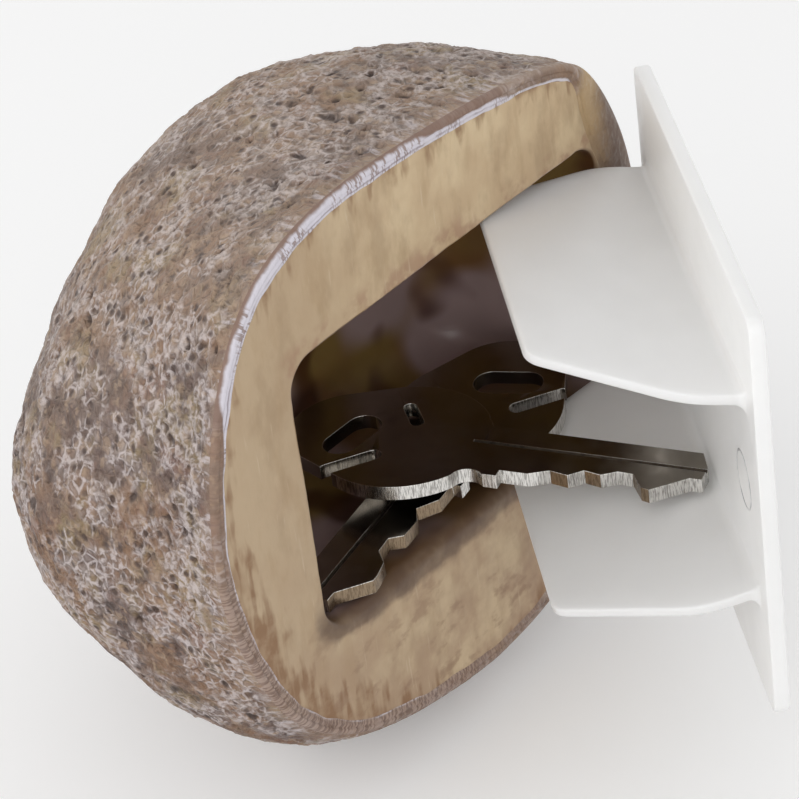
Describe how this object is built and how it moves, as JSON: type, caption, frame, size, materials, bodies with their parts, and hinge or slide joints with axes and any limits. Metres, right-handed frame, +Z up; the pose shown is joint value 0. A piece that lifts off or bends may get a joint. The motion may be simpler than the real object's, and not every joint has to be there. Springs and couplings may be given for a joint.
{
  "type": "hide-a-key rock",
  "caption": "Hollow cast garden rock lying on its side, its push-in plastic cover levered open on sprung tabs, with house keys stored in the cavity.",
  "frame": {"origin": "bottom centre of the bounding box: on the ground under the rock as it lies on its side with the cover open", "axes": "+Z up as the rock lies on its side; +X out of the flat base face and the mouth of the cavity; +Y along the cavity's length, towards the end that the cover turns on"},
  "size_m": [0.1062, 0.0892, 0.0882],
  "materials": {
    "resin": "cast resin, painted mottled brown and grey with white dry-brushed high spots; tan on the base face",
    "natural_plastic": "uncoloured translucent white moulding, satin",
    "nickel": "nickel-plated brass blank, polished faces and freshly milled cuts"
  },
  "bodies": {
    "rock": {"rock_body": "resin"},
    "cover": {"cover": "natural_plastic"},
    "upper_key": {"key_1": "nickel"},
    "lower_key": {"key_2": "nickel"}
  },
  "joints": [
    {"name": "cover_hinge", "type": "hinge", "parent": "rock", "child": "cover", "pos_m": [-0.00384, 0.04132, 0.05043], "axis": [0, 0, 1], "range_deg": [-46.2, 0]},
    {"name": "lower_key_slide", "type": "slide", "parent": "rock", "child": "lower_key", "axis": [-0.4586, 0, 0.8886], "range_m": [0, 0.007]},
    {"name": "upper_key_turn", "type": "hinge", "parent": "lower_key", "child": "upper_key", "pos_m": [-0.00314, 0.00772, 0.03843], "axis": [0, 0, 1], "range_deg": [-102, 0]}
  ],
  "couplings": [
    {"joint": "lower_key_slide", "follows": "cover_hinge", "m_per_rad": -0.00865},
    {"joint": "upper_key_turn", "follows": "cover_hinge", "ratio": 2.2}
  ]
}
